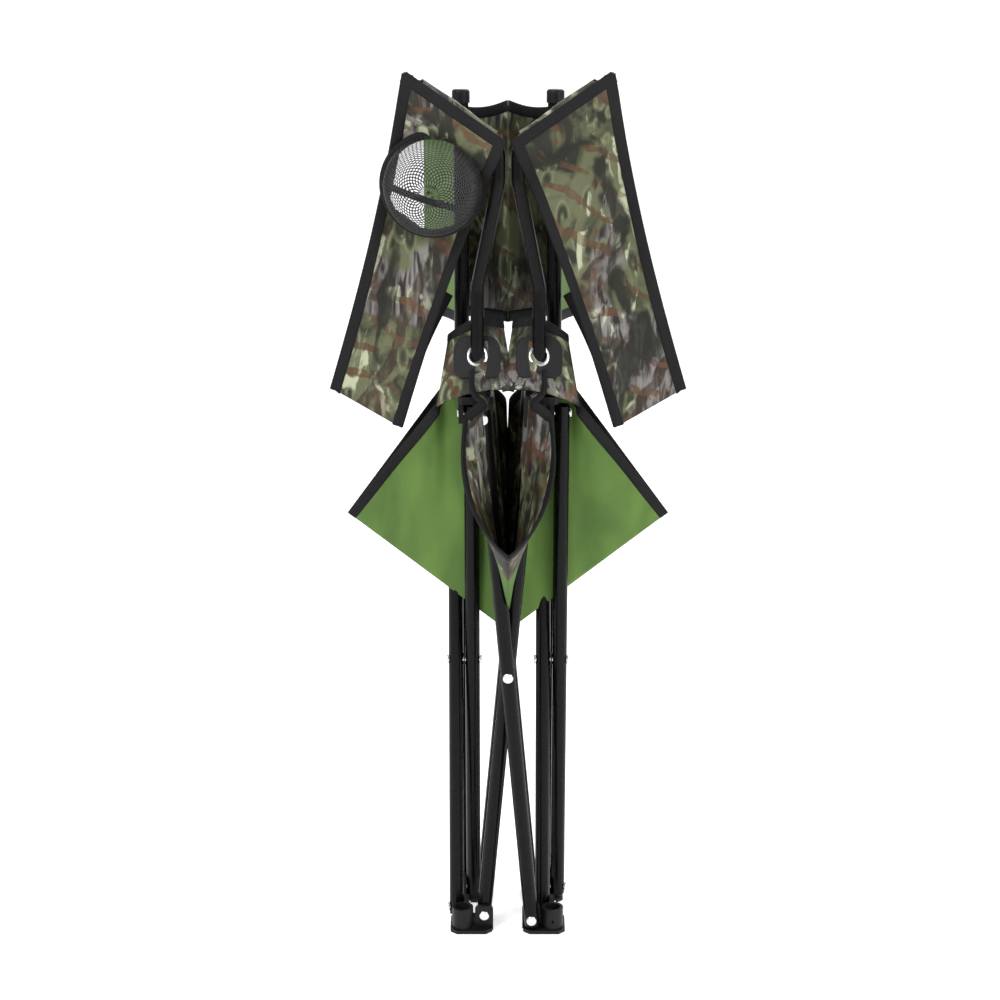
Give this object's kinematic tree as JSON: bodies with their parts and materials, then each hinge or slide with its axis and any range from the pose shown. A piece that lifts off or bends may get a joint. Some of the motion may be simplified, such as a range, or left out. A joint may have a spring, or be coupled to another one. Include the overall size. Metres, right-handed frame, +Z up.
{
  "type": "folding camp chair",
  "caption": "Folding camp chair standing closed, with scissor-braced tube frame, sliding rear collars, cloth seat, back and arm rests, and a mesh cup holder.",
  "frame": {"origin": "middle of the bounding box on the ground, under the middle of the folded frame", "axes": "+Z up, the front of the chair faces -Y, +X to the right seen from the front"},
  "size_m": [0.37, 0.3258, 0.9237],
  "materials": {
    "moulded_black": "fine moulded texture",
    "black_powder_coat": "gloss black powder coat",
    "bright_rivet": "bright nickel",
    "woodland_cloth": null,
    "black_mesh": "open black mesh",
    "black_webbing": "black ribbed binding"
  },
  "bodies": {
    "foot_front_right": {"foot_front_right": "moulded_black", "foot_rivets_front_right": "bright_rivet"},
    "tube_front_outer": {"tube_front_outer": "black_powder_coat"},
    "tube_front_inner": {"tube_front_inner": "black_powder_coat", "middle_rivet_front": "bright_rivet", "spacer_front": "moulded_black"},
    "foot_rear_right": {"foot_rear_right": "moulded_black", "foot_rivets_rear_right": "bright_rivet", "back_upright_right": "black_powder_coat", "top_cap_right": "moulded_black"},
    "tube_right_outer": {"tube_right_outer": "black_powder_coat"},
    "tube_right_inner": {"tube_right_inner": "black_powder_coat", "middle_rivet_right": "bright_rivet", "spacer_right": "moulded_black"},
    "foot_rear_left": {"foot_rear_left": "moulded_black", "foot_rivets_rear_left": "bright_rivet", "back_upright_left": "black_powder_coat", "top_cap_left": "moulded_black"},
    "tube_rear_outer": {"tube_rear_outer": "black_powder_coat"},
    "tube_rear_inner": {"tube_rear_inner": "black_powder_coat", "middle_rivet_rear": "bright_rivet", "spacer_rear": "moulded_black"},
    "foot_front_left": {"foot_front_left": "moulded_black", "foot_rivets_front_left": "bright_rivet"},
    "tube_left_outer": {"tube_left_outer": "black_powder_coat"},
    "tube_left_inner": {"tube_left_inner": "black_powder_coat", "middle_rivet_left": "bright_rivet", "spacer_left": "moulded_black"},
    "top_front_right": {"bracket_front_right": "moulded_black", "bracket_rivets_front_right": "bright_rivet", "arm_post_right": "black_powder_coat"},
    "top_front_left": {"bracket_front_left": "moulded_black", "bracket_rivets_front_left": "bright_rivet", "arm_post_left": "black_powder_coat"},
    "top_rear_right": {"collar_rear_right": "moulded_black", "bracket_rivets_rear_right": "bright_rivet"},
    "top_rear_left": {"collar_rear_left": "moulded_black", "bracket_rivets_rear_left": "bright_rivet"},
    "seat_front_near": {"seat_front_at_front_right": "woodland_cloth"},
    "seat_front_far": {"seat_front_at_front_left": "woodland_cloth"},
    "seat_right_near": {"seat_right_at_rear_right": "woodland_cloth"},
    "seat_right_far": {"seat_right_at_front_right": "woodland_cloth"},
    "seat_rear_near": {"seat_rear_at_rear_left": "woodland_cloth"},
    "seat_rear_far": {"seat_rear_at_rear_right": "woodland_cloth"},
    "seat_left_near": {"seat_left_at_front_left": "woodland_cloth"},
    "seat_left_far": {"seat_left_at_rear_left": "woodland_cloth"},
    "arm_front_right": {"arm_front_right": "woodland_cloth"},
    "arm_rear_right": {"arm_rear_right": "woodland_cloth"},
    "back_side_right": {"back_side_right": "woodland_cloth"},
    "back_middle_right": {"back_middle_right": "woodland_cloth"},
    "arm_front_left": {"arm_front_left": "woodland_cloth", "cup_holder_ring": "black_webbing", "cup_holder_bag": "black_mesh"},
    "arm_rear_left": {"arm_rear_left": "woodland_cloth"},
    "back_side_left": {"back_side_left": "woodland_cloth"},
    "back_middle_left": {"back_middle_left": "woodland_cloth"}
  },
  "joints": [
    {"name": "unfold", "type": "hinge", "parent": "foot_front_left", "child": "tube_front_inner", "pos_m": [-0.026, -0.0385, 0.017], "axis": [0, 1, 0], "range_deg": [0, 40.5]},
    {"name": "front_middle", "type": "hinge", "parent": "tube_front_inner", "child": "tube_front_outer", "pos_m": [0, -0.0565, 0.2978], "axis": [0, 1, 0], "range_deg": [-81, 0]},
    {"name": "front_right_foot", "type": "hinge", "parent": "tube_front_outer", "child": "foot_front_right", "pos_m": [0.026, -0.0565, 0.017], "axis": [0, 1, 0], "range_deg": [0, 40.5]},
    {"name": "front_right_top", "type": "hinge", "parent": "tube_front_inner", "child": "top_front_right", "pos_m": [0.026, -0.0385, 0.5786], "axis": [0, 1, 0], "range_deg": [-40.5, 0]},
    {"name": "front_left_top", "type": "hinge", "parent": "tube_front_outer", "child": "top_front_left", "pos_m": [-0.026, -0.0565, 0.5786], "axis": [0, 1, 0], "range_deg": [0, 40.5]},
    {"name": "right_foot", "type": "hinge", "parent": "foot_front_right", "child": "tube_right_inner", "pos_m": [0.0385, -0.026, 0.017], "axis": [-1, 0, 0], "range_deg": [0, 40.5]},
    {"name": "right_middle", "type": "hinge", "parent": "tube_right_inner", "child": "tube_right_outer", "pos_m": [0.0565, 0, 0.2978], "axis": [-1, 0, 0], "range_deg": [-81, 0]},
    {"name": "rear_right_foot", "type": "hinge", "parent": "tube_right_outer", "child": "foot_rear_right", "pos_m": [0.0565, 0.026, 0.017], "axis": [-1, 0, 0], "range_deg": [0, 40.5]},
    {"name": "rear_right_top", "type": "hinge", "parent": "tube_right_inner", "child": "top_rear_right", "pos_m": [0.0385, 0.026, 0.5786], "axis": [-1, 0, 0], "range_deg": [-40.5, 0]},
    {"name": "left_foot", "type": "hinge", "parent": "foot_front_left", "child": "tube_left_outer", "pos_m": [-0.0565, -0.026, 0.017], "axis": [1, 0, 0], "range_deg": [-40.5, 0]},
    {"name": "left_middle", "type": "hinge", "parent": "tube_left_outer", "child": "tube_left_inner", "pos_m": [-0.0565, 0, 0.2978], "axis": [1, 0, 0], "range_deg": [0, 81]},
    {"name": "rear_left_foot", "type": "hinge", "parent": "tube_left_inner", "child": "foot_rear_left", "pos_m": [-0.0385, 0.026, 0.017], "axis": [1, 0, 0], "range_deg": [-40.5, 0]},
    {"name": "rear_left_top", "type": "hinge", "parent": "tube_left_outer", "child": "top_rear_left", "pos_m": [-0.0565, 0.026, 0.5786], "axis": [1, 0, 0], "range_deg": [0, 40.5]},
    {"name": "rear_foot", "type": "hinge", "parent": "foot_rear_left", "child": "tube_rear_outer", "pos_m": [-0.026, 0.0565, 0.017], "axis": [0, -1, 0], "range_deg": [-40.5, 0]},
    {"name": "rear_middle", "type": "hinge", "parent": "tube_rear_outer", "child": "tube_rear_inner", "pos_m": [0, 0.0565, 0.2978], "axis": [0, -1, 0], "range_deg": [0, 81]},
    {"name": "seat_front_near_fold", "type": "hinge", "parent": "top_front_right", "child": "seat_front_near", "pos_m": [0.041, -0.041, 0.632], "axis": [0.3651, 0.8809, -0.3013], "range_deg": [0, 86.33], "deforming": ["seat_front_at_front_right"]},
    {"name": "seat_front_far_fold", "type": "hinge", "parent": "top_front_left", "child": "seat_front_far", "pos_m": [-0.041, -0.041, 0.632], "axis": [0.3651, -0.8809, 0.3013], "range_deg": [0, 86.33], "deforming": ["seat_front_at_front_left"]},
    {"name": "seat_right_near_fold", "type": "hinge", "parent": "top_rear_right", "child": "seat_right_near", "pos_m": [0.041, 0.041, 0.632], "axis": [-0.8809, 0.3651, -0.3013], "range_deg": [0, 86.33], "deforming": ["seat_right_at_rear_right"]},
    {"name": "seat_right_far_fold", "type": "hinge", "parent": "top_front_right", "child": "seat_right_far", "pos_m": [0.041, -0.041, 0.632], "axis": [0.8809, 0.3651, 0.3013], "range_deg": [0, 86.33], "deforming": ["seat_right_at_front_right"]},
    {"name": "seat_rear_near_fold", "type": "hinge", "parent": "top_rear_left", "child": "seat_rear_near", "pos_m": [-0.041, 0.041, 0.632], "axis": [-0.3651, -0.8809, -0.3013], "range_deg": [0, 86.33], "deforming": ["seat_rear_at_rear_left"]},
    {"name": "seat_rear_far_fold", "type": "hinge", "parent": "top_rear_right", "child": "seat_rear_far", "pos_m": [0.041, 0.041, 0.632], "axis": [-0.3651, 0.8809, 0.3013], "range_deg": [0, 86.33], "deforming": ["seat_rear_at_rear_right"]},
    {"name": "seat_left_near_fold", "type": "hinge", "parent": "top_front_left", "child": "seat_left_near", "pos_m": [-0.041, -0.041, 0.632], "axis": [0.8809, -0.3651, -0.3013], "range_deg": [0, 86.33], "deforming": ["seat_left_at_front_left"]},
    {"name": "seat_left_far_fold", "type": "hinge", "parent": "top_rear_left", "child": "seat_left_far", "pos_m": [-0.041, 0.041, 0.632], "axis": [-0.8809, -0.3651, 0.3013], "range_deg": [0, 86.33], "deforming": ["seat_left_at_rear_left"]},
    {"name": "arm_front_right_fold", "type": "hinge", "parent": "top_front_right", "child": "arm_front_right", "pos_m": [0.0535, -0.0419, 0.892], "axis": [0.9608, 0.0692, 0.2683], "range_deg": [0, 68.64], "deforming": ["arm_front_right"]},
    {"name": "arm_rear_right_fold", "type": "hinge", "parent": "foot_rear_right", "child": "arm_rear_right", "pos_m": [0.07615, 0.047, 0.70025], "axis": [-0.6909, 0.5396, -0.4811], "range_deg": [0, 42.96], "deforming": ["arm_rear_right"]},
    {"name": "back_side_right_fold", "type": "hinge", "parent": "foot_rear_right", "child": "back_side_right", "pos_m": [0.0495, 0.0575, 0.7735], "axis": [0, 0, 1], "range_deg": [0, 112.23], "deforming": ["back_side_right"]},
    {"name": "back_middle_right_fold", "type": "hinge", "parent": "back_side_right", "child": "back_middle_right", "pos_m": [0.092, 0.1615, 0.7735], "axis": [0, 0, 1], "range_deg": [-150.77, 0], "deforming": ["back_middle_right"]},
    {"name": "arm_front_left_fold", "type": "hinge", "parent": "top_front_left", "child": "arm_front_left", "pos_m": [-0.0535, -0.0419, 0.892], "axis": [0.9608, -0.0692, -0.2683], "range_deg": [0, 68.64], "deforming": ["arm_front_left"]},
    {"name": "arm_rear_left_fold", "type": "hinge", "parent": "foot_rear_left", "child": "arm_rear_left", "pos_m": [-0.07615, 0.047, 0.70025], "axis": [-0.6909, -0.5396, 0.4811], "range_deg": [0, 42.96], "deforming": ["arm_rear_left"]},
    {"name": "back_side_left_fold", "type": "hinge", "parent": "foot_rear_left", "child": "back_side_left", "pos_m": [-0.0495, 0.0575, 0.7735], "axis": [0, 0, 1], "range_deg": [-112.23, 0], "deforming": ["back_side_left"]},
    {"name": "back_middle_left_fold", "type": "hinge", "parent": "back_side_left", "child": "back_middle_left", "pos_m": [-0.092, 0.1615, 0.7735], "axis": [0, 0, 1], "range_deg": [0, 150.77], "deforming": ["back_middle_left"]}
  ],
  "couplings": [
    {"joint": "front_middle", "follows": "unfold", "ratio": -2},
    {"joint": "front_right_foot", "follows": "unfold", "ratio": 1},
    {"joint": "front_right_top", "follows": "unfold", "ratio": -1},
    {"joint": "front_left_top", "follows": "unfold", "ratio": 1},
    {"joint": "right_foot", "follows": "unfold", "ratio": 1},
    {"joint": "right_middle", "follows": "unfold", "ratio": -2},
    {"joint": "rear_right_foot", "follows": "unfold", "ratio": 1},
    {"joint": "rear_right_top", "follows": "unfold", "ratio": -1},
    {"joint": "left_foot", "follows": "unfold", "ratio": -1},
    {"joint": "left_middle", "follows": "unfold", "ratio": 2},
    {"joint": "rear_left_foot", "follows": "unfold", "ratio": -1},
    {"joint": "rear_left_top", "follows": "unfold", "ratio": 1},
    {"joint": "rear_foot", "follows": "unfold", "ratio": -1},
    {"joint": "rear_middle", "follows": "unfold", "ratio": 2},
    {"joint": "seat_front_near_fold", "follows": "unfold", "ratio": 2.1315},
    {"joint": "seat_front_far_fold", "follows": "unfold", "ratio": 2.1315},
    {"joint": "seat_right_near_fold", "follows": "unfold", "ratio": 2.1315},
    {"joint": "seat_right_far_fold", "follows": "unfold", "ratio": 2.1315},
    {"joint": "seat_rear_near_fold", "follows": "unfold", "ratio": 2.1315},
    {"joint": "seat_rear_far_fold", "follows": "unfold", "ratio": 2.1315},
    {"joint": "seat_left_near_fold", "follows": "unfold", "ratio": 2.1315},
    {"joint": "seat_left_far_fold", "follows": "unfold", "ratio": 2.1315},
    {"joint": "arm_front_right_fold", "follows": "unfold", "ratio": 1.6949},
    {"joint": "arm_rear_right_fold", "follows": "unfold", "ratio": 1.0608},
    {"joint": "back_side_right_fold", "follows": "unfold", "ratio": 2.7711},
    {"joint": "back_middle_right_fold", "follows": "unfold", "ratio": -3.7227},
    {"joint": "arm_front_left_fold", "follows": "unfold", "ratio": 1.6949},
    {"joint": "arm_rear_left_fold", "follows": "unfold", "ratio": 1.0608},
    {"joint": "back_side_left_fold", "follows": "unfold", "ratio": -2.7711},
    {"joint": "back_middle_left_fold", "follows": "unfold", "ratio": 3.7227}
  ]
}
